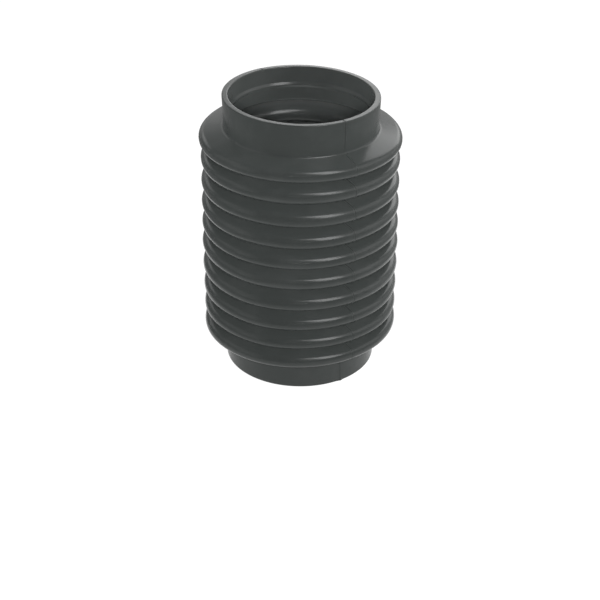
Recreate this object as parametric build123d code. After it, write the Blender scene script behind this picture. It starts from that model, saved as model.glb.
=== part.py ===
from build123d import *

import math
import os

# Rubber bellows boot, moulded in one piece and open at both ends.
# The axis is Z and the boot stands on the rim of its lower neck, at Z = 0.
# Its section is a belt drawn round a chain of circles in the (radius, height) half-plane:
# up the outside, over the upper rim and down the inside. One turn about Z makes the solid.
# All sizes are in millimetres.

# Necks, the same at both ends
NECK_BORE = 72.0            # grips the spigot that the boot is pushed on to
NECK_WALL = 3.0
NECK_LENGTH = 15.2          # straight outside, the seat of the clamp band
NECK_FILLET = 1.2           # outside, where the neck runs into the shoulder
BORE_EDGE_ROUND = 2.0       # inside, where the bore opens into the first fold
RIM_ROUND = 0.5

# Locating rib inside each neck, which drops into a groove of the spigot
RIB_HEIGHT = 0.8
RIB_NOSE = 0.6
RIB_BASE = 2.8
RIB_DEPTH = 9.3             # from the rim to the middle of the rib

# Folds
FOLD_COUNT = 10
FOLD_PITCH = 11.6
FOLD_WALL = 2.4
CREST_DIAMETER = 100.8
END_CREST_SWELL = 0.6       # how far the first and last crest stand out past the others
CREST_CORE_ROUND = 1.0      # inside a crest
ROOT_BORE = 72.4            # clear way through the folds
GROOVE_ROUND = 1.8          # outside, at the bottom of a groove
SHOULDER_RISE = 6.4         # from the end of a neck's straight seat to the middle of the end crest

# Sizes that follow from those above
bore_radius = NECK_BORE / 2
neck_radius = bore_radius + NECK_WALL
crest_round = CREST_CORE_ROUND + FOLD_WALL
ridge_round = GROOVE_ROUND + FOLD_WALL
first_crest = NECK_LENGTH + SHOULDER_RISE
total_length = 2 * first_crest + (FOLD_COUNT - 1) * FOLD_PITCH


class Bend:
    """A circle that the section bends round.

    It bends to the left with a positive radius and to the right with a negative one.
    """

    def __init__(self, from_axis, height, bend_radius):
        self.center = Vector(from_axis, height)
        self.radius = bend_radius

    def touch(self, heading):
        """The point where a leg with this heading touches the circle."""
        left = Vector(-math.sin(heading), math.cos(heading))
        return self.center - left * self.radius

    def at_other_end(self):
        """The matching bend at the far end of the boot."""
        return Bend(self.center.X, total_length - self.center.Y, self.radius)


def leg_heading(start, end):
    """The heading, in radians, of the straight leg that touches two bends."""
    span = end.center - start.center
    return math.atan2(span.Y, span.X) - math.asin((end.radius - start.radius) / span.length)


def section_point(point):
    """Stand a (radius, height) point up in the XZ plane."""
    return (point.X, 0, point.Y)


def belt(bends):
    """A closed outline of straight legs and the arcs that join them round each bend."""
    headings = [leg_heading(bends[i - 1], bends[i]) for i in range(len(bends))]
    edges = []
    for i, bend in enumerate(bends):
        arrive = headings[i]
        leave = headings[(i + 1) % len(bends)]
        edges.append(Line(section_point(bends[i - 1].touch(arrive)), section_point(bend.touch(arrive))))
        if bend.radius:
            turn = (leave - arrive) % math.copysign(math.tau, bend.radius)
            middle = bend.touch(arrive + turn / 2)
            edges.append(
                ThreePointArc(
                    section_point(bend.touch(arrive)),
                    section_point(middle),
                    section_point(bend.touch(leave)),
                )
            )
    return Wire(edges)


def crest_bends(rounding):
    """Bends round the middle of each crest, from the lowest up."""
    bends = []
    for i in range(FOLD_COUNT):
        swell = END_CREST_SWELL if i in (0, FOLD_COUNT - 1) else 0
        from_axis = CREST_DIAMETER / 2 + swell - crest_round
        bends.append(Bend(from_axis, first_crest + i * FOLD_PITCH, rounding))
    return bends


def root_bends(rounding):
    """Bends round the middle of each groove, from the lowest up."""
    from_axis = ROOT_BORE / 2 + ridge_round
    return [Bend(from_axis, first_crest + (i + 0.5) * FOLD_PITCH, rounding) for i in range(FOLD_COUNT - 1)]


def fold_bends(crest_rounding, root_rounding):
    """Crests and grooves in turn, from the lowest crest to the highest."""
    crests = crest_bends(crest_rounding)
    chain = [crests[0]]
    for root, crest in zip(root_bends(root_rounding), crests[1:]):
        chain += [root, crest]
    return chain


def outside():
    """Up the outside, from the lower rim to the upper one."""
    neck = [
        Bend(neck_radius - RIM_ROUND, RIM_ROUND, RIM_ROUND),
        Bend(neck_radius + NECK_FILLET, NECK_LENGTH, -NECK_FILLET),
    ]
    return neck + fold_bends(crest_round, -GROOVE_ROUND) + [bend.at_other_end() for bend in reversed(neck)]


def bore_edge(shoulder_heading, crest_core):
    """The bend where the lower bore opens out, placed so that the shoulder's wall is even."""
    from_axis = bore_radius + BORE_EDGE_ROUND
    inward = from_axis - crest_core.center.X
    drop = BORE_EDGE_ROUND + CREST_CORE_ROUND - math.sin(shoulder_heading) * inward
    return Bend(from_axis, crest_core.center.Y - drop / math.cos(shoulder_heading), BORE_EDGE_ROUND)


def inside(shoulder_heading):
    """Down the inside, from the upper rim to the lower one."""
    folds = fold_bends(-CREST_CORE_ROUND, ridge_round)
    neck = [
        bore_edge(shoulder_heading, folds[0]),
        Bend(bore_radius, RIB_DEPTH + RIB_BASE / 2, 0),
        Bend(bore_radius - RIB_HEIGHT + RIB_NOSE, RIB_DEPTH, RIB_NOSE),
        Bend(bore_radius, RIB_DEPTH - RIB_BASE / 2, 0),
        Bend(bore_radius + RIM_ROUND, RIM_ROUND, RIM_ROUND),
    ]
    return [bend.at_other_end() for bend in reversed(neck)] + folds[::-1] + neck


def bellows_boot():
    """The whole moulding, turned from its section."""
    outer = outside()
    shoulder_heading = leg_heading(outer[1], outer[2])
    section = Face(belt(outer + inside(shoulder_heading)))
    return revolve(section, Axis.Z)


os.makedirs("parts", exist_ok=True)
export_step(bellows_boot(), "parts/bellows_boot.step")
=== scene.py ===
"""Rubber bellows boot: its visual model, its studio and its camera.

The boot is one moulding, open at both ends. It stands on its lower rim at the origin, axis up +Z.
The boot's and the camera's sizes are in millimetres, the studio's are in metres, and angles are in
degrees. An azimuth is counted from the front, -Y, towards +X.
"""

import logging
import math
from dataclasses import dataclass, field
from enum import Enum

import bpy
import numpy as np
from mathutils import Matrix, Vector


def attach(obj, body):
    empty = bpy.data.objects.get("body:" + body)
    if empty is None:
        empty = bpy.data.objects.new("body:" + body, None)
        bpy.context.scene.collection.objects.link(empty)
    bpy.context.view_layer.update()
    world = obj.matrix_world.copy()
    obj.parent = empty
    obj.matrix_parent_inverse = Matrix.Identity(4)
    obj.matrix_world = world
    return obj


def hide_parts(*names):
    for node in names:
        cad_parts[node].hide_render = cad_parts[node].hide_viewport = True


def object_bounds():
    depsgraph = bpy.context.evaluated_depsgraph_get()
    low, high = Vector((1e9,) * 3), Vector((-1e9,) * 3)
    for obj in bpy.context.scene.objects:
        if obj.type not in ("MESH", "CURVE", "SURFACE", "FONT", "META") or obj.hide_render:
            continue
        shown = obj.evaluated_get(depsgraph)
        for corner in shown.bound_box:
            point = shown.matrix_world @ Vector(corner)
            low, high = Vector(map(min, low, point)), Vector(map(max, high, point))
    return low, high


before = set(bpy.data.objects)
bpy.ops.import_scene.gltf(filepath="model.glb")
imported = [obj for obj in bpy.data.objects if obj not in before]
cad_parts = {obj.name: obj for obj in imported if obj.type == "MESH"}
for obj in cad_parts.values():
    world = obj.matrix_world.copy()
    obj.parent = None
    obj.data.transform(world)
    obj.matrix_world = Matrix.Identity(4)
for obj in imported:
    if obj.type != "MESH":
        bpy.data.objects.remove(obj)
cad_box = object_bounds()

MM = 0.001
PICTURE_WIDTH = 600  # pixels
WHITE = (1.0, 1.0, 1.0, 1.0)
log = logging.getLogger("bellows_boot")

Array = np.ndarray
Socket = bpy.types.NodeSocket
Node = bpy.types.Node


def smooth_step(start: float, stop: float, x: Array) -> Array:
    """A soft ramp from 0 to 1: t * t * (3 - 2 t), t being how far x is from start to stop.

    Args:
        start: Where the ramp leaves 0.
        stop: Where the ramp reaches 1.
        x: Places to work out.

    Returns:
        The ramp's height at each place.
    """
    t = np.clip((x - start) / (stop - start), 0.0, 1.0)
    return t * t * (3.0 - 2.0 * t)


def hump(x: Array, width: float) -> Array:
    """A bell of height 1 at 0: exp(-(x / width) squared)."""
    return np.exp(-((x / width) ** 2))


@dataclass(frozen=True)
class Ramp:
    """A soft change of level: low up to start, high from stop on, and a smooth step between."""

    start: float
    stop: float
    low: float = 0.0
    high: float = 1.0

    def at(self, x: Array) -> Array:
        """The level at each place: low + (high - low) times the smooth step."""
        return self.low + (self.high - self.low) * smooth_step(self.start, self.stop, x)


@dataclass(frozen=True)
class Pattern:
    """A soft random pattern: the size of its blots in mm, its finer layers and their strength."""

    size: float
    detail: float
    roughness: float


@dataclass(frozen=True)
class Relief:
    """How a pattern stands out of the surface: how much of it shows, and its height in mm."""

    strength: float
    height: float


class NodeSheet:
    """A material's or a world's node tree, with short calls that add a node and wire it."""

    def __init__(self, tree: bpy.types.NodeTree) -> None:
        """Start with an empty tree."""
        self.tree = tree
        tree.nodes.clear()

    def add(self, kind: str, **settings: object) -> Node:
        """Add a node.

        Args:
            kind: The node's type name.
            settings: Properties of the node, by name.

        Returns:
            The new node.
        """
        node = self.tree.nodes.new(kind)
        for name, value in settings.items():
            setattr(node, name, value)
        return node

    def feed(self, socket: Socket, value: object) -> None:
        """Wire a socket to another, or write a plain value on it.

        Args:
            socket: The socket that is fed.
            value: Another socket, a number or a colour.
        """
        if isinstance(value, Socket):
            self.tree.links.new(value, socket)
        else:
            socket.default_value = value

    def attribute(self, name: str) -> Socket:
        """A number that the mesh holds at each point under this name."""
        return self.add("ShaderNodeAttribute", attribute_name=name).outputs["Fac"]

    def axes(self, vector: Socket) -> list[Socket]:
        """Take a vector apart.

        Args:
            vector: The vector.

        Returns:
            The sockets that hold its x, y and z.
        """
        node = self.add("ShaderNodeSeparateXYZ")
        self.feed(node.inputs[0], vector)
        return list(node.outputs)

    def math(self, operation: str, *values: object) -> Socket:
        """Do a sum on single numbers.

        Args:
            operation: The Math node's operation.
            values: Its sockets or numbers in order, as many as the operation has.

        Returns:
            The socket that holds the answer.
        """
        node = self.add("ShaderNodeMath", operation=operation)
        for socket, value in zip(node.inputs, values):
            self.feed(socket, value)
        return node.outputs[0]

    def plus(self, first: object, second: object) -> Socket:
        """The sum of two sockets or numbers."""
        return self.math("ADD", first, second)

    def times(self, first: object, second: object) -> Socket:
        """The product of two sockets or numbers."""
        return self.math("MULTIPLY", first, second)

    def ramp(self, value: Socket, ramp: Ramp) -> Socket:
        """Work out a ramp's level at a number.

        Args:
            value: The number.
            ramp: The ramp.

        Returns:
            The socket that holds the level.
        """
        node = self.add("ShaderNodeMapRange", interpolation_type="SMOOTHSTEP")
        names = ("Value", "From Min", "From Max", "To Min", "To Max")
        for name, number in zip(names, (value, ramp.start, ramp.stop, ramp.low, ramp.high)):
            self.feed(node.inputs[name], number)
        return node.outputs[0]

    def noise(self, place: Socket, pattern: Pattern) -> Socket:
        """Add a soft random pattern from 0 to 1.

        Args:
            place: The coordinates that it follows, in metres.
            pattern: Its size and finer layers.

        Returns:
            The socket that holds the pattern.
        """
        node = self.add("ShaderNodeTexNoise")
        names = ("Vector", "Scale", "Detail", "Roughness")
        values = (place, 1.0 / (pattern.size * MM), pattern.detail, pattern.roughness)
        for name, value in zip(names, values):
            self.feed(node.inputs[name], value)
        return node.outputs[0]

    def bump(self, height: Socket, relief: Relief, under: Socket | None = None) -> Socket:
        """Turn a height into a dent or rise of the surface.

        Args:
            height: The pattern, 1 where it stands at its full height.
            relief: How much of it shows, and the full height.
            under: A bump that this one lies on.

        Returns:
            The socket that holds the normal.
        """
        node = self.add("ShaderNodeBump")
        node.inputs["Strength"].default_value = relief.strength
        node.inputs["Distance"].default_value = relief.height * MM
        self.feed(node.inputs["Height"], height)
        if under is not None:
            self.feed(node.inputs["Normal"], under)
        return node.outputs[0]

    def mix(self, first: object, second: object, share: object, blend: str = "MIX") -> Socket:
        """Mix two colours, which come in by the node's sockets 6 and 7 and leave by its socket 2.

        Args:
            first: The colour where the share is 0.
            second: The colour that comes in as the share rises. The share may pass 1.
            share: The share, as a socket or a number.
            blend: How the second one comes in.

        Returns:
            The socket that holds the colour.
        """
        node = self.add("ShaderNodeMix", data_type="RGBA", clamp_factor=False, blend_type=blend)
        self.feed(node.inputs["Factor"], share)
        self.feed(node.inputs[6], first)
        self.feed(node.inputs[7], second)
        return node.outputs[2]


@dataclass(frozen=True)
class MouldedRubber:
    """Black carbon-filled rubber as it leaves a satin steel mould.

    Its colour clouds a little, and it is dully bloomed in patches and on the rubbed crests. The
    inner wall is painted paler as painted fill light, most in the deep slots of the folds, and the
    seam is darkened as painted shade. The surface has a fine grain, shallow dimples and faint
    rings left by the turned mould. The mesh says at each point how much of a crest, a seam or an
    inner wall it is.
    """

    name: str = "black_rubber"
    color: tuple[float, float, float] = (0.0420, 0.0465, 0.0449)
    bloom_and_painted_fill_color: tuple[float, float, float] = (0.0520, 0.0562, 0.0548)
    roughness: float = 0.22
    roughness_spread: float = 0.08
    specular: float = 0.25
    diffuse_roughness: float = 1.0
    clouds: Pattern = Pattern(17.0, 4.0, 0.55)
    specks: Pattern = Pattern(1.1, 3.0, 0.6)
    grain: Pattern = Pattern(0.42, 2.0, 0.6)
    dimples: Pattern = Pattern(2.6, 2.0, 0.5)
    ring_pitch: float = 0.55
    bloom_patches: Ramp = Ramp(0.42, 0.68, 0.0, 0.55)
    rubbed_patches: Ramp = Ramp(0.45, 0.75, 0.15, 1.0)
    ring_patches: Ramp = Ramp(0.40, 0.62)
    crest_bloom: float = 0.35
    # Painted fill light: how much paler the inner wall is painted.
    inner_painted_fill: float = 0.65
    # Painted shade: how much darker the seam's line is painted.
    seam_painted_shade: float = 0.22
    seam_dull: float = 0.45
    dimple_relief: Relief = Relief(0.20, 0.05)
    ring_relief: Relief = Relief(0.12, 0.010)
    grain_relief: Relief = Relief(0.25, 0.02)

    def tone(self, sheet: NodeSheet, place: Socket, clouds: Socket, seam: Socket) -> Socket:
        """Mix the rubber's colour with a paler one, for its bloomed patches and for the painted fill
        light on the inner wall, and darken the seam with painted shade.

        Args:
            sheet: The material's nodes.
            place: The object's coordinates.
            clouds: The slow pattern.
            seam: How much of a seam each point is.

        Returns:
            The socket that holds the colour.
        """
        specks = sheet.noise(place, self.specks)
        rubbed = sheet.times(sheet.attribute("crest"), sheet.ramp(specks, self.rubbed_patches))
        bloom_and_painted_fill = sheet.plus(sheet.ramp(clouds, self.bloom_patches), sheet.times(rubbed, self.crest_bloom))
        # Painted fill light: the inner wall is painted paler, most in the folds' deep slots, where shade
        # falls.
        bloom_and_painted_fill = sheet.plus(bloom_and_painted_fill, sheet.times(sheet.attribute("inner"), self.inner_painted_fill))
        tint = sheet.mix((*self.color, 1.0), (*self.bloom_and_painted_fill_color, 1.0), bloom_and_painted_fill)
        # Painted shade: the seam's line is darkened.
        clean = sheet.math("SUBTRACT", 1.0, sheet.times(seam, self.seam_painted_shade))
        return sheet.mix(tint, clean, 1.0, "MULTIPLY")

    def texture(self, sheet: NodeSheet, place: Socket, clouds: Socket) -> Socket:
        """Lay the grain on the mould's rings, and the rings on the dimples.

        The rings are a sine of the length along the section, and they show in patches.

        Args:
            sheet: The material's nodes.
            place: The object's coordinates.
            clouds: The slow pattern.

        Returns:
            The socket that holds the normal.
        """
        along = sheet.axes(sheet.add("ShaderNodeUVMap", uv_map="wall").outputs[0])[1]
        ring = sheet.math("SINE", sheet.times(along, math.tau / (self.ring_pitch * MM)))
        rings = sheet.times(ring, sheet.ramp(clouds, self.ring_patches))
        normal = sheet.bump(sheet.noise(place, self.dimples), self.dimple_relief)
        normal = sheet.bump(rings, self.ring_relief, normal)
        return sheet.bump(sheet.noise(place, self.grain), self.grain_relief, normal)

    def material(self) -> bpy.types.Material:
        """Build the rubber.

        Returns:
            The material.
        """
        material = bpy.data.materials.new(self.name)
        material.use_nodes = True
        sheet = NodeSheet(material.node_tree)
        place = sheet.add("ShaderNodeTexCoord").outputs["Object"]
        clouds = sheet.noise(place, self.clouds)
        seam = sheet.attribute("seam")
        spread = self.roughness_spread
        dull = sheet.plus(self.roughness - spread, sheet.times(clouds, 2 * spread))
        shader = sheet.add("ShaderNodeBsdfPrincipled")
        shader.inputs["Specular IOR Level"].default_value = self.specular
        shader.inputs["Diffuse Roughness"].default_value = self.diffuse_roughness
        sheet.feed(shader.inputs["Base Color"], self.tone(sheet, place, clouds, seam))
        sheet.feed(shader.inputs["Roughness"], sheet.plus(dull, sheet.times(seam, self.seam_dull)))
        sheet.feed(shader.inputs["Normal"], self.texture(sheet, place, clouds))
        sheet.feed(sheet.add("ShaderNodeOutputMaterial").inputs["Surface"], shader.outputs[0])
        return material


@dataclass(frozen=True)
class Section:
    """The closed outline of the wall in the (radius, height) half-plane, in millimetres.

    It is a belt drawn round a chain of circles: up the outside, over the upper rim and down the
    inside. Each row of the chain is a circle's distance from the axis, its height and its bend
    radius, which is positive where the belt turns left.
    """

    neck_bore: float = 72.0
    neck_wall: float = 3.0
    neck_length: float = 15.2
    neck_fillet: float = 1.2
    bore_edge_round: float = 2.0
    rim_round: float = 0.5
    rib_height: float = 0.8
    rib_nose: float = 0.6
    rib_base: float = 2.8
    rib_depth: float = 9.3
    fold_count: int = 10
    fold_pitch: float = 11.6
    fold_wall: float = 2.4
    crest_diameter: float = 100.8
    end_crest_swell: float = 0.6
    crest_core_round: float = 1.0
    root_bore: float = 72.4
    groove_round: float = 1.8
    shoulder_rise: float = 6.4

    @property
    def bore_radius(self) -> float:
        """Inside radius of a neck."""
        return self.neck_bore / 2

    @property
    def neck_radius(self) -> float:
        """Outside radius of a neck."""
        return self.bore_radius + self.neck_wall

    @property
    def crest_round(self) -> float:
        """Outside radius of a crest's bend."""
        return self.crest_core_round + self.fold_wall

    @property
    def ridge_round(self) -> float:
        """Radius of the bend that a fold's inner ridge shows to the bore."""
        return self.groove_round + self.fold_wall

    @property
    def first_crest(self) -> float:
        """Height of the lowest crest."""
        return self.neck_length + self.shoulder_rise

    @property
    def total_length(self) -> float:
        """Height of the whole boot."""
        return 2 * self.first_crest + (self.fold_count - 1) * self.fold_pitch

    @property
    def crest_heights(self) -> Array:
        """Height of each crest, from the lowest up."""
        return self.first_crest + self.fold_pitch * np.arange(self.fold_count)

    def folds(self, crest_bend: float, root_bend: float) -> Array:
        """Line up the crests and the grooves in turn.

        Args:
            crest_bend: The bend radius round the middle of a crest.
            root_bend: The bend radius round the middle of a groove.

        Returns:
            The chain, from the lowest crest to the highest.
        """
        crest_center = np.full(self.fold_count, self.crest_diameter / 2 - self.crest_round)
        crest_center[[0, -1]] += self.end_crest_swell
        root_center = np.full(self.fold_count - 1, self.root_bore / 2 + self.ridge_round)
        chain = np.empty((2 * self.fold_count - 1, 3))
        chain[0::2, 0] = crest_center
        chain[0::2, 1] = self.crest_heights
        chain[0::2, 2] = crest_bend
        chain[1::2, 0] = root_center
        chain[1::2, 1] = self.crest_heights[:-1] + self.fold_pitch / 2
        chain[1::2, 2] = root_bend
        return chain

    def other_end(self, chain: Array) -> Array:
        """The same chain at the far end of the boot, in the order that the belt meets it there."""
        return chain[::-1] * (1, -1, 1) + (0, self.total_length, 0)

    def outside(self) -> Array:
        """Line up the circles up the outside.

        Returns:
            The chain, from the lower rim to the upper one.
        """
        neck = np.array(
            [
                (self.neck_radius - self.rim_round, self.rim_round, self.rim_round),
                (self.neck_radius + self.neck_fillet, self.neck_length, -self.neck_fillet),
            ]
        )
        return np.vstack([neck, self.folds(self.crest_round, -self.groove_round), self.other_end(neck)])

    def inside(self) -> Array:
        """Line up the circles down the inside.

        The bend where the bore opens out is placed so that the shoulder's wall is even: its
        distance from the leg of the shoulder is the same as the crest core's.

        Returns:
            The chain, from the upper rim to the lower one.
        """
        outer = self.outside()
        heading = leg_headings(outer)[2]
        folds = self.folds(-self.crest_core_round, self.ridge_round)
        edge = self.bore_radius + self.bore_edge_round
        inward = edge - folds[0, 0]
        drop = self.bore_edge_round + self.crest_core_round - math.sin(heading) * inward
        neck = np.array(
            [
                (edge, folds[0, 1] - drop / math.cos(heading), self.bore_edge_round),
                (self.bore_radius, self.rib_depth + self.rib_base / 2, 0.0),
                (self.bore_radius - self.rib_height + self.rib_nose, self.rib_depth, self.rib_nose),
                (self.bore_radius, self.rib_depth - self.rib_base / 2, 0.0),
                (self.bore_radius + self.rim_round, self.rim_round, self.rim_round),
            ]
        )
        return np.vstack([self.other_end(neck), folds[::-1], neck])


def leg_headings(chain: Array) -> Array:
    """Work out the heading of the straight leg that reaches each circle of a closed chain.

    The heading is that of the line between the two centres, less the angle whose sine is the
    difference of the bend radii over the distance of the centres.

    Args:
        chain: Rows of distance from the axis, height and bend radius.

    Returns:
        One heading a row, in radians.
    """
    step = chain - np.roll(chain, 1, axis=0)
    return np.arctan2(step[:, 1], step[:, 0]) - np.arcsin(step[:, 2] / np.hypot(step[:, 0], step[:, 1]))


def belt_points(chain: Array, arc_steps: Array, leg_stops: tuple[float, ...]) -> Array:
    """Walk along the belt round a closed chain of circles.

    On a leg, a point is the last touch plus a share of the way to the next touch. On an arc, it is
    the centre less the bend radius times the left-hand normal of a heading that turns evenly from
    the leg before to the leg after.

    Args:
        chain: Rows of distance from the axis, height and bend radius.
        arc_steps: Number of points on each row's arc, 1 for a sharp corner.
        leg_stops: Shares of the way along each leg that get a point.

    Returns:
        Rows of radius and height.
    """
    arrive = leg_headings(chain)
    leave = np.roll(arrive, -1)
    bend = chain[:, 2]
    turn = np.where(bend == 0, 0.0, np.mod(leave - arrive, np.copysign(math.tau, bend)))

    def on_circle(row: Array, heading: Array) -> Array:
        """Where a line with this heading touches the row's circle."""
        left = np.column_stack([-np.sin(heading), np.cos(heading)])
        return chain[row, :2] - left * bend[row, None]

    rows = np.arange(len(chain))
    before = np.roll(on_circle(rows, leave), 1, axis=0)
    touch = on_circle(rows, arrive)
    counts = arc_steps + len(leg_stops)
    row = np.repeat(rows, counts)
    step = np.arange(len(row)) - np.repeat(np.cumsum(counts) - counts, counts)
    on_leg = step < len(leg_stops)
    share = np.append(leg_stops, 0.0)[np.minimum(step, len(leg_stops))]
    on_arc = (step - len(leg_stops)) / np.maximum(arc_steps[row] - 1, 1)
    leg = before[row] + (touch - before)[row] * share[:, None]
    arc = on_circle(row, arrive[row] + turn[row] * on_arc)
    return np.where(on_leg[:, None], leg, arc)


@dataclass(frozen=True)
class PartingLine:
    """The witness of the two mould halves: a fine groove, a mismatch, a nib at the foot and a dark
    line of painted shade.

    The groove, the mismatch and the dark line run up two opposite sides of the boot. The nib is on
    the near side alone.
    """

    azimuth: float = 32.6
    column_offsets: tuple[float, ...] = (0.04, 0.16, 0.3, 0.48, 0.75, 1.2)
    groove_depth: float = 0.02
    groove_width: float = 0.36
    mismatch_out: float = 0.10
    mismatch_up: float = 0.14
    mismatch_half_width: float = 0.05
    nib_height: float = 0.55
    nib_width: float = 1.0
    nib_rise: float = 1.1
    # The dark line of painted shade along the parting line: its width, and how it grows towards the top.
    shade_line_width: float = 0.50
    shade_line_by_height: Ramp = Ramp(100.0, 125.0, 0.55, 1.0)
    faint_share: float = 0.8
    faint_reach: float = 7.0

    def columns(self) -> Array:
        """Azimuths that the grid needs close to one line."""
        offsets = np.array(self.column_offsets)
        return self.azimuth + np.concatenate([-offsets[::-1], [0.0], offsets])

    def shift(self, radius: Array, height: Array, azimuth: Array) -> tuple[Array, Array]:
        """Work out the groove, the mismatch and the nib.

        The groove is a bell of the arc length from the line. The second mould half is moved along
        the parting plane, so its radial shift follows the cosine of the angle from the line, and
        it is moved up by a constant. The nib is a bell of the distance from the foot of the line.

        Args:
            radius: Distance from the axis.
            height: Height above the floor.
            azimuth: Angle round the axis.

        Returns:
            How far the outside moves outwards, and how far it moves up.
        """
        turn = np.radians(azimuth - self.azimuth)
        arc = radius * np.sin(turn)
        near_arc = np.where(np.cos(turn) > 0, arc, np.inf)
        groove = self.groove_depth * hump(arc, self.groove_width)
        nib = self.nib_height * hump(near_arc, self.nib_width) * hump(height, self.nib_rise)
        half = smooth_step(-self.mismatch_half_width, self.mismatch_half_width, arc) - 0.5
        out = nib - groove + self.mismatch_out * np.cos(turn) * half
        return out, self.mismatch_up * half * np.ones_like(height)

    def painted_shade_line(self, radius: Array, height: Array, azimuth: Array, faint_height: float) -> Array:
        """Work out the dark, dull line along the parting line: painted shade in the colour, and a duller
        roughness.

        It is a bell of the arc length from the line. It grows towards the top, and it fades in a
        bell of the height round the place where the line is faintest.

        Args:
            radius: Distance from the axis.
            height: Height above the floor.
            azimuth: Angle round the axis.
            faint_height: Where the line is faintest.

        Returns:
            The dark line's strength, from 0 to 1.
        """
        arc = radius * np.sin(np.radians(azimuth - self.azimuth))
        faint = 1.0 - self.faint_share * hump(height - faint_height, self.faint_reach)
        return hump(arc, self.shade_line_width) * faint * self.shade_line_by_height.at(height)


@dataclass(frozen=True)
class Settling:
    """How a soft moulding departs from its even form as it stands.

    Each fold sits a little above or below its even place and is a little wider or narrower, the
    walls wander by a tenth of a millimetre, the rim and the foot flare, the stack of folds fans
    out, and the upper neck stands a little to one side and low.
    """

    fold_lift: tuple[float, ...] = (-0.08, -0.97, -1.34, -1.22, -0.38, -0.90, -1.12, -0.98, 0.00, -0.60)
    fold_swell: tuple[float, ...] = (-0.3, 0.15, 0.23, 0.38, 0.42, 0.23, 0.15, 0.0, -0.13, 0.0)
    body_lean: float = -0.22
    body_fan: float = 1.05
    body_nod: float = 0.28
    neck_shift: float = 0.36
    neck_drop: float = 0.20
    neck_root: float = 2.0
    rim_flare: float = 0.32
    rim_flare_reach: float = 9.0
    foot_flare: float = 0.42
    wander: float = 0.09
    wander_up: float = 0.13
    wander_at_ends: float = 0.3
    fewest_lobes: int = 2
    most_lobes: int = 8
    lobe_falloff: float = 0.7
    lobe_drift: float = 1.1
    seed: int = 41

    def waves(self, folds_up: Array, azimuth: Array, size: float, seed: int) -> Array:
        """Add up slow waves round the axis, whose phases change from fold to fold.

        A wave is the cosine of a sum: its lobes times the angle, its phase, and its drift times the
        folds up.

        Args:
            folds_up: Height above the floor, in pitches of the folds.
            azimuth: Angle round the axis.
            size: Height of the strongest wave.
            seed: What the phases and the drifts are drawn from.

        Returns:
            The sum of the waves at each point.
        """
        draw = np.random.default_rng(seed)
        lobes = np.arange(self.fewest_lobes, self.most_lobes + 1)
        phase = draw.uniform(0, math.tau, len(lobes))
        drift = draw.uniform(-self.lobe_drift, self.lobe_drift, len(lobes))
        share = size / (lobes - 1.0) ** self.lobe_falloff
        lobes, phase, drift = (values[:, None, None] for values in (lobes, phase, drift))
        angle = lobes * np.radians(azimuth)[None] + phase + drift * folds_up[None]
        return np.tensordot(share, np.cos(angle), axes=1)

    def shift(self, section: Section, height: Array, azimuth: Array) -> tuple[Array, Array]:
        """Work out the wander, the swell, the flares and the lift.

        The lift fades to nothing at the foot and the rim, and the wander fades to a share of
        itself. The folds' own lift and swell are joined by straight lines from crest to crest.

        Args:
            section: The even form.
            height: Height above the floor.
            azimuth: Angle round the axis.

        Returns:
            How far the wall moves outwards, and how far it moves up.
        """
        top = section.total_length
        to_end = np.minimum(height, top - height)
        free = smooth_step(0.0, section.first_crest + section.fold_pitch, to_end)
        held = self.wander_at_ends + (1 - self.wander_at_ends) * free
        folds_up = height / section.fold_pitch
        stations = np.concatenate([[0.0], section.crest_heights, [top]])
        out = held * self.waves(folds_up, azimuth, self.wander, self.seed)
        out += np.interp(height, stations, (0.0, *self.fold_swell, 0.0))
        out += self.rim_flare * smooth_step(top - self.rim_flare_reach, top, height)
        out += self.foot_flare * smooth_step(section.neck_length, 0.0, height)
        up = free * self.waves(folds_up, azimuth, self.wander_up, self.seed + 1)
        return out, up + np.interp(height, stations, (0.0, *self.fold_lift, 0.0))

    def lean(self, section: Section, points: Array) -> Array:
        """Fan the folds out towards -X, nod the whole forwards and set the upper neck aside.

        The foot keeps flat on the floor.

        Args:
            section: The even form.
            points: Rows of x, y and z.

        Returns:
            The moved points.
        """
        top = section.total_length
        x, y, z = np.moveaxis(points, -1, 0)
        in_neck = smooth_step(section.crest_heights[-1] - self.neck_root, top - section.neck_length, z)
        risen = smooth_step(0.0, section.neck_length, z)
        fan = math.tan(math.radians(self.body_fan)) * (2 * z / top - 1)
        nod = math.tan(math.radians(self.body_nod))
        aside = self.body_lean * z / top + in_neck * self.neck_shift
        raised = risen * (nod * y - fan * x) - in_neck * self.neck_drop
        return np.stack([x + aside, y, z + raised], axis=-1)


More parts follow.
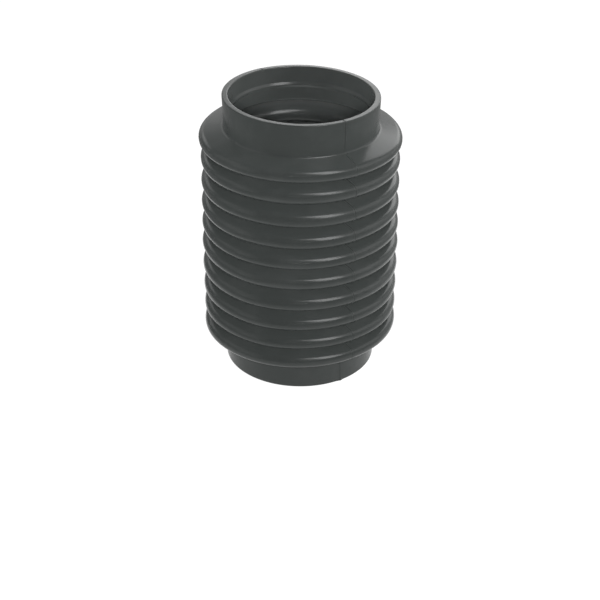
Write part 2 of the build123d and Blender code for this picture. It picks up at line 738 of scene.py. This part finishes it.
@dataclass
class BellowsBoot:
    """The whole moulding as one closed skin, revolved from its section with its small faults."""

    section: Section = field(default_factory=Section)
    parting: PartingLine = field(default_factory=PartingLine)
    settling: Settling = field(default_factory=Settling)
    finish: MouldedRubber = field(default_factory=MouldedRubber)
    columns: int = 144
    crest_steps: int = 13
    groove_steps: int = 9
    inner_steps: int = 6
    leg_stops: tuple[float, ...] = (0.07, 0.50, 0.93)
    edge_band: float = 1.5
    rim_wave: float = 0.03
    rim_wave_lobes: tuple[int, int] = (3, 2)
    rim_wave_phase: float = 0.8
    rubbed_from: float = 8.0
    # How far from the ends of the boot the seam's painted shade runs over the rims' edges.
    shaded_rim_edge: float = 1.0
    faint_below_neck: float = 3.0
    # Painted fill light: the inner wall's share of the paler colour, rising to 3 in the folds' deep
    # slots.
    inner_fill_by_radius: Ramp = Ramp(40.0, 45.0, 1.0, 3.0)

    def azimuths(self) -> Array:
        """Choose the angles of the grid's columns: an even ring, refined at both parting lines.

        Returns:
            The azimuths.
        """
        close = self.parting.columns()
        reach = close[-1] - self.parting.azimuth
        even = self.parting.azimuth + np.linspace(reach, 180 - reach, self.columns // 2)[1:-1]
        return np.concatenate([close, even, close + 180, even + 180])

    def outline(self) -> tuple[Array, Array]:
        """Sample the section.

        Returns:
            Rows of radius and height, and for each the share of the outside, 1 out and 0 in.
        """
        outer, inner = self.section.outside(), self.section.inside()
        chain = np.vstack([outer, inner])
        bend = np.abs(chain[:, 2])
        outer_rows = np.arange(len(chain)) < len(outer)
        is_crest = bend == self.section.crest_round
        steps = np.where(is_crest, self.crest_steps, self.groove_steps)
        steps = np.where(outer_rows, steps, self.inner_steps)
        steps = np.where(bend == self.section.ridge_round, self.groove_steps, steps)
        steps = np.where(bend == 0, 1, steps)
        points = belt_points(chain, steps, self.leg_stops)
        first_inner = (steps + len(self.leg_stops))[: len(outer)].sum() + len(self.leg_stops)
        return points, (np.arange(len(points)) < first_inner).astype(float)

    def skin(self, outline: Array, outside: Array, azimuth: Array) -> Array:
        """Revolve the outline and give it its small faults.

        A point is (r sin a, -r cos a, z), with a measured from the front towards +X, after r and z
        have taken the shift of the settling, and on the outside the shift of the parting line. The
        upper rim is worn down by a slow wave, and nothing goes below the floor.

        Args:
            outline: Rows of radius and height.
            outside: 1 for the outside of the wall and 0 for the inside.
            azimuth: Angles round the axis.

        Returns:
            A grid of points in millimetres, rows along the outline and columns round the axis.
        """
        radius = np.repeat(outline[:, :1], len(azimuth), axis=1)
        height = np.repeat(outline[:, 1:], len(azimuth), axis=1)
        angle = np.repeat(azimuth[None], len(outline), axis=0)
        out, up = self.settling.shift(self.section, height, angle)
        line_out, line_up = self.parting.shift(radius, height, angle)
        off_floor = smooth_step(0.0, self.edge_band, height)
        off_rim = smooth_step(0.0, self.edge_band, self.section.total_length - height)
        radius = radius + out + outside[:, None] * line_out
        raised = height + off_floor * (up + outside[:, None] * line_up * off_rim)
        turn = np.radians(angle)
        points = np.stack([radius * np.sin(turn), -radius * np.cos(turn), raised], axis=-1)
        points = self.settling.lean(self.section, points)
        first, second = self.rim_wave_lobes
        wave = 1 + np.sin(first * turn + self.rim_wave_phase) * np.cos(second * turn)
        points[..., 2] = np.maximum(points[..., 2] - self.rim_wave * wave * (1 - off_rim), 0.0)
        return points

    def marks(self, outline: Array, outside: Array, azimuth: Array) -> dict[str, Array]:
        """Work out the numbers that the rubber reads at each point.

        The crest's number rises from 0 a little way out from the necks to 1 at a crest. The seam's
        is the parting line's dark line of painted shade, outside and on the edges of the rims. The
        inner wall's is painted fill light: 1 in the necks, and it grows to 3 in the folds' deep slots.

        Args:
            outline: Rows of radius and height.
            outside: 1 for the outside of the wall and 0 for the inside.
            azimuth: Angles round the axis.

        Returns:
            Each attribute's values, rows along the outline and columns round the axis.
        """
        section = self.section
        middle = section.total_length / 2
        radius, height = outline[:, :1], outline[:, 1:]
        crest = smooth_step(section.neck_radius + self.rubbed_from, section.crest_diameter / 2, radius)
        rim = np.abs(height - middle) > middle - self.shaded_rim_edge
        faint = section.total_length - section.neck_length - self.faint_below_neck
        painted_shade_line = self.parting.painted_shade_line(radius, height, azimuth[None], faint)
        out = outside[:, None]
        values_by_name = {
            "crest": out * crest,
            # The seam's dark line is painted shade, and it also dulls the roughness.
            "seam": np.maximum(out, rim) * painted_shade_line,
            # The inner wall's painted fill light.
            "inner": (1 - out) * self.inner_fill_by_radius.at(radius),
        }
        return {name: np.broadcast_to(values, painted_shade_line.shape) for name, values in values_by_name.items()}

    def build(self) -> bpy.types.Object:
        """Make the mesh, with its wall coordinates and its attributes, and dress it.

        Each face joins a point to the next row and the next column, and both run round to the
        first again. The wall coordinates are the arc length round the crest circle and the length
        along the section, in metres.

        Returns:
            The finished object, riding on the one body in place of the CAD solid.
        """
        outline, outside = self.outline()
        azimuth = self.azimuths()
        points = self.skin(outline, outside, azimuth)
        rows, columns = points.shape[:2]
        mesh = bpy.data.meshes.new("bellows_skin")
        row, column = np.meshgrid(np.arange(rows), np.arange(columns), indexing="ij")
        corner_rows = np.stack([row, row, row + 1, row + 1], axis=-1).ravel()
        corner_columns = np.stack([column, column + 1, column + 1, column], axis=-1).ravel()
        corners = (corner_rows % rows) * columns + corner_columns % columns
        mesh.from_pydata((points * MM).reshape(-1, 3), [], corners.reshape(-1, 4))
        mesh.shade_smooth()

        step = np.hypot(*(np.roll(outline, -1, axis=0) - outline).T)
        along = np.append(0.0, np.cumsum(step))
        around = np.radians(np.append(azimuth, azimuth[0] + 360)) * self.section.crest_diameter / 2
        wall = np.column_stack([around[corner_columns], along[corner_rows]]) * MM
        mesh.uv_layers.new(name="wall").uv.foreach_set("vector", wall.ravel())
        for name, values in self.marks(outline, outside, azimuth).items():
            mesh.attributes.new(name, "FLOAT", "POINT").data.foreach_set("value", values.ravel())

        piece = bpy.data.objects.new("bellows_skin", mesh)
        bpy.context.scene.collection.objects.link(piece)
        mesh.materials.append(self.finish.material())
        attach(piece, "root")
        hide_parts("bellows_boot")
        return piece


class LampRole(Enum):
    """What each studio lamp does."""

    KEY = "key"
    FILL = "fill"
    RIGHT_FILL = "right_fill"
    RIGHT = "right"
    LEFT = "left"
    LEFT_HIGH = "left_high"
    BACK_LEFT = "back_left"
    BACK_RIGHT = "back_right"
    BACK = "back"
    BACK_FILL_LEFT = "back_fill_left"
    BACK_FILL_RIGHT = "back_fill_right"


class Rays(Enum):
    """Which rays see a lamp: those that light a matt surface, those that mirror, or both."""

    ALL = (True, True)
    MATT = (True, False)
    GLOSS = (False, True)


@dataclass(frozen=True)
class Lamp:
    """A soft box that looks at the middle of the boot.

    Its bearing is its azimuth and elevation, and its size is its width and height in metres.
    """

    role: LampRole
    rays: Rays
    bearing: tuple[float, float]
    size: tuple[float, float]
    power: float
    distance: float = 1.10

    def place(self, target: Vector) -> bpy.types.Object:
        """Hang the lamp.

        Args:
            target: What it looks at, in metres.

        Returns:
            The lamp.
        """
        turn, rise = (math.radians(angle) for angle in self.bearing)
        level = math.cos(rise)
        away = Vector((math.sin(turn) * level, -math.cos(turn) * level, math.sin(rise)))
        light = bpy.data.lights.new(self.role.value, "AREA")
        light.shape = "RECTANGLE"
        light.size, light.size_y = self.size
        light.energy = self.power
        lamp = bpy.data.objects.new(self.role.value, light)
        lamp.location = target + away * self.distance
        lamp.rotation_euler = away.to_track_quat("Z", "Y").to_euler()
        lamp.visible_camera = False
        lamp.visible_diffuse, lamp.visible_glossy = self.rays.value
        bpy.context.scene.collection.objects.link(lamp)
        return lamp


@dataclass(frozen=True)
class Studio:
    """A pale floor and a white backdrop, in a dim room, with its lamps. Sizes are in metres.

    Mirroring rays see a painted pool of light on the floor: a glowing round under the boot, dim
    beyond its soft edge and brighter towards the back, as a painted reflection.
    """

    lamps: tuple[Lamp, ...] = (
        Lamp(LampRole.KEY, Rays.GLOSS, bearing=(40.5, 56.0), size=(0.40, 0.80), power=9.2),
        Lamp(LampRole.FILL, Rays.MATT, bearing=(0.0, 26.5), size=(0.24, 0.10), power=5.4, distance=0.73),
        Lamp(LampRole.RIGHT_FILL, Rays.MATT, bearing=(84.0, 20.0), size=(0.60, 0.60), power=5.6),
        Lamp(LampRole.RIGHT, Rays.GLOSS, bearing=(88.0, 38.0), size=(0.90, 0.60), power=2.0),
        Lamp(LampRole.LEFT, Rays.GLOSS, bearing=(298.0, 17.0), size=(0.50, 0.50), power=0.5),
        Lamp(LampRole.LEFT_HIGH, Rays.GLOSS, bearing=(272.0, 38.0), size=(0.90, 0.60), power=0.9),
        Lamp(LampRole.BACK_LEFT, Rays.GLOSS, bearing=(218.0, 26.0), size=(0.44, 0.22), power=0.38),
        Lamp(LampRole.BACK_RIGHT, Rays.ALL, bearing=(149.0, 29.0), size=(0.48, 0.62), power=2.15),
        Lamp(LampRole.BACK, Rays.ALL, bearing=(177.2, 22.0), size=(0.22, 0.34), power=0.56),
        Lamp(LampRole.BACK_FILL_LEFT, Rays.MATT, bearing=(238.0, 8.0), size=(0.50, 0.30), power=6.5),
        Lamp(LampRole.BACK_FILL_RIGHT, Rays.MATT, bearing=(135.0, 8.0), size=(0.50, 0.30), power=6.5),
    )
    floor_half_width: float = 3.0
    floor_grey: float = 0.15
    floor_glow: float = 0.93
    # The painted pool of light that mirroring rays see on the floor: its middle, edge and ramps.
    painted_pool_aside: float = 0.03
    painted_pool_back: float = 0.03
    painted_pool_edge: float = 0.21
    painted_pool_softness: float = 0.045
    beyond_painted_pool: float = 0.13
    painted_pool_by_depth: Ramp = Ramp(-0.15, 0.10, 0.50, 1.15)
    room_level: float = 0.08
    backdrop_level: float = 0.76
    backdrop_by_height: Ramp = Ramp(0.25, 0.70, 1.0, 0.0)
    backdrop_turn: float = 0.50
    backdrop_by_depth: Ramp = Ramp(0.20, 0.95)

    def floor_finish(self) -> bpy.types.Material:
        """Make the floor's paint: matt grey that glows white for the camera.

        Mirroring rays see a share of the glow, a painted pool of light: its ramp by the distance from
        its middle, times its ramp from front to back.

        Returns:
            The material.
        """
        material = bpy.data.materials.new("floor_white")
        material.use_nodes = True
        sheet = NodeSheet(material.node_tree)
        x, y, _ = sheet.axes(sheet.add("ShaderNodeTexCoord").outputs["Object"])
        aside = sheet.math("SUBTRACT", x, self.painted_pool_aside)
        back = sheet.math("SUBTRACT", y, self.painted_pool_back)
        squares = (sheet.math("POWER", offset, 2.0) for offset in (aside, back))
        away = sheet.math("SQRT", sheet.plus(*squares))
        # Painted reflection: a pool of light glows for mirroring rays, brighter towards the back.
        start, stop = self.painted_pool_edge - self.painted_pool_softness, self.painted_pool_edge + self.painted_pool_softness
        share = sheet.ramp(away, Ramp(start, stop, 1.0, self.beyond_painted_pool))
        share = sheet.times(share, sheet.ramp(y, self.painted_pool_by_depth))
        path = sheet.add("ShaderNodeLightPath").outputs
        mirrored = sheet.math("MAXIMUM", path["Is Glossy Ray"], path["Is Transmission Ray"])
        seen = sheet.math("MAXIMUM", path["Is Camera Ray"], sheet.times(mirrored, share))
        matt = sheet.add("ShaderNodeBsdfDiffuse")
        matt.inputs["Color"].default_value = (self.floor_grey,) * 3 + (1.0,)
        glow = sheet.add("ShaderNodeEmission")
        sheet.feed(glow.inputs["Strength"], sheet.times(seen, self.floor_glow))
        both = sheet.add("ShaderNodeAddShader")
        sheet.feed(both.inputs[0], matt.outputs[0])
        sheet.feed(both.inputs[1], glow.outputs[0])
        sheet.feed(sheet.add("ShaderNodeOutputMaterial").inputs["Surface"], both.outputs[0])
        return material

    def floor(self) -> bpy.types.Object:
        """Lay the floor.

        Returns:
            The floor.
        """
        half = self.floor_half_width
        mesh = bpy.data.meshes.new("floor")
        corners = [(-half, -half, 0.0), (half, -half, 0.0), (half, half, 0.0), (-half, half, 0.0)]
        mesh.from_pydata(corners, [], [(0, 1, 2, 3)])
        mesh.materials.append(self.floor_finish())
        piece = bpy.data.objects.new("floor", mesh)
        bpy.context.scene.collection.objects.link(piece)
        return piece

    def room(self) -> bpy.types.World:
        """Light the room: dim, with a bright backdrop low down behind, and white for the camera.

        The backdrop's level is its ramp by the ray's rise, times its ramp by how far back the ray
        points once the room is turned a little.

        Returns:
            The world.
        """
        world = bpy.data.worlds.new("soft_room")
        world.use_nodes = True
        sheet = NodeSheet(world.node_tree)
        x, y, z = sheet.axes(sheet.add("ShaderNodeTexCoord").outputs["Generated"])
        low = sheet.ramp(z, self.backdrop_by_height)
        behind = sheet.ramp(sheet.math("MULTIPLY_ADD", x, self.backdrop_turn, y), self.backdrop_by_depth)
        lift = sheet.times(sheet.times(low, behind), self.backdrop_level)
        level = sheet.add("ShaderNodeMix", data_type="FLOAT")
        sheet.feed(level.inputs["Factor"], sheet.add("ShaderNodeLightPath").outputs["Is Camera Ray"])
        sheet.feed(level.inputs["A"], sheet.plus(self.room_level, lift))
        sheet.feed(level.inputs["B"], 1.0)
        background = sheet.add("ShaderNodeBackground")
        background.inputs["Color"].default_value = WHITE
        sheet.feed(background.inputs["Strength"], level.outputs[0])
        sheet.feed(sheet.add("ShaderNodeOutputWorld").inputs["Surface"], background.outputs[0])
        bpy.context.scene.world = world
        return world

    def build(self) -> list[bpy.types.ID]:
        """Set up the floor, the room and the lamps round the middle of the boot.

        Returns:
            All of them, in that order.
        """
        low, high = cad_box
        return [self.floor(), self.room(), *(lamp.place((low + high) / 2) for lamp in self.lamps)]


@dataclass(frozen=True)
class Viewpoint:
    """The camera in front of the boot, above it and looking down on it.

    A turn of half a pixel each way puts the frame's whole numbers at the middles of the pixels.
    """

    focal_pixels: float = 1406.1
    pitch: float = 30.567
    roll: float = 0.313
    sideways: float = 0.293
    ahead: float = 648.605
    height: float = 412.099
    half_pixel: float = 0.5
    sensor: float = 36.0
    clip: tuple[float, float] = (0.01, 50.0)

    def build(self) -> bpy.types.Object:
        """Stand the camera and make it the scene's own.

        Returns:
            The camera.
        """
        data = bpy.data.cameras.new("camera")
        data.sensor_width = self.sensor
        data.lens = self.focal_pixels * self.sensor / PICTURE_WIDTH
        data.clip_start, data.clip_end = self.clip
        data.dof.use_dof = False
        aside = self.half_pixel / self.focal_pixels
        turn = (
            Matrix.Rotation(math.radians(90 - self.pitch) + aside, 4, "X")
            @ Matrix.Rotation(aside, 4, "Y")
            @ Matrix.Rotation(math.radians(self.roll), 4, "Z")
        )
        camera = bpy.data.objects.new("camera", data)
        stand = Vector((self.sideways, -self.ahead, self.height)) * MM
        camera.matrix_world = Matrix.Translation(stand) @ turn
        bpy.context.scene.collection.objects.link(camera)
        bpy.context.scene.camera = camera
        return camera


def write_sizes() -> None:
    """Bring the view layer up to date.
    """
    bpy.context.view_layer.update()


def main() -> None:
    """Build the camera, the boot and the studio, and report each piece."""
    logging.basicConfig(level=logging.INFO, format="%(name)s %(message)s")
    camera = Viewpoint().build()
    boot = BellowsBoot().build()
    studio = Studio().build()
    bpy.context.scene.view_settings.view_transform = "Standard"
    write_sizes()
    for piece in (camera, boot, *studio):
        log.info("built %s", piece.name)
    log.info("%s has %d faces", boot.name, len(boot.data.polygons))


if __name__ == "__main__":
    main()
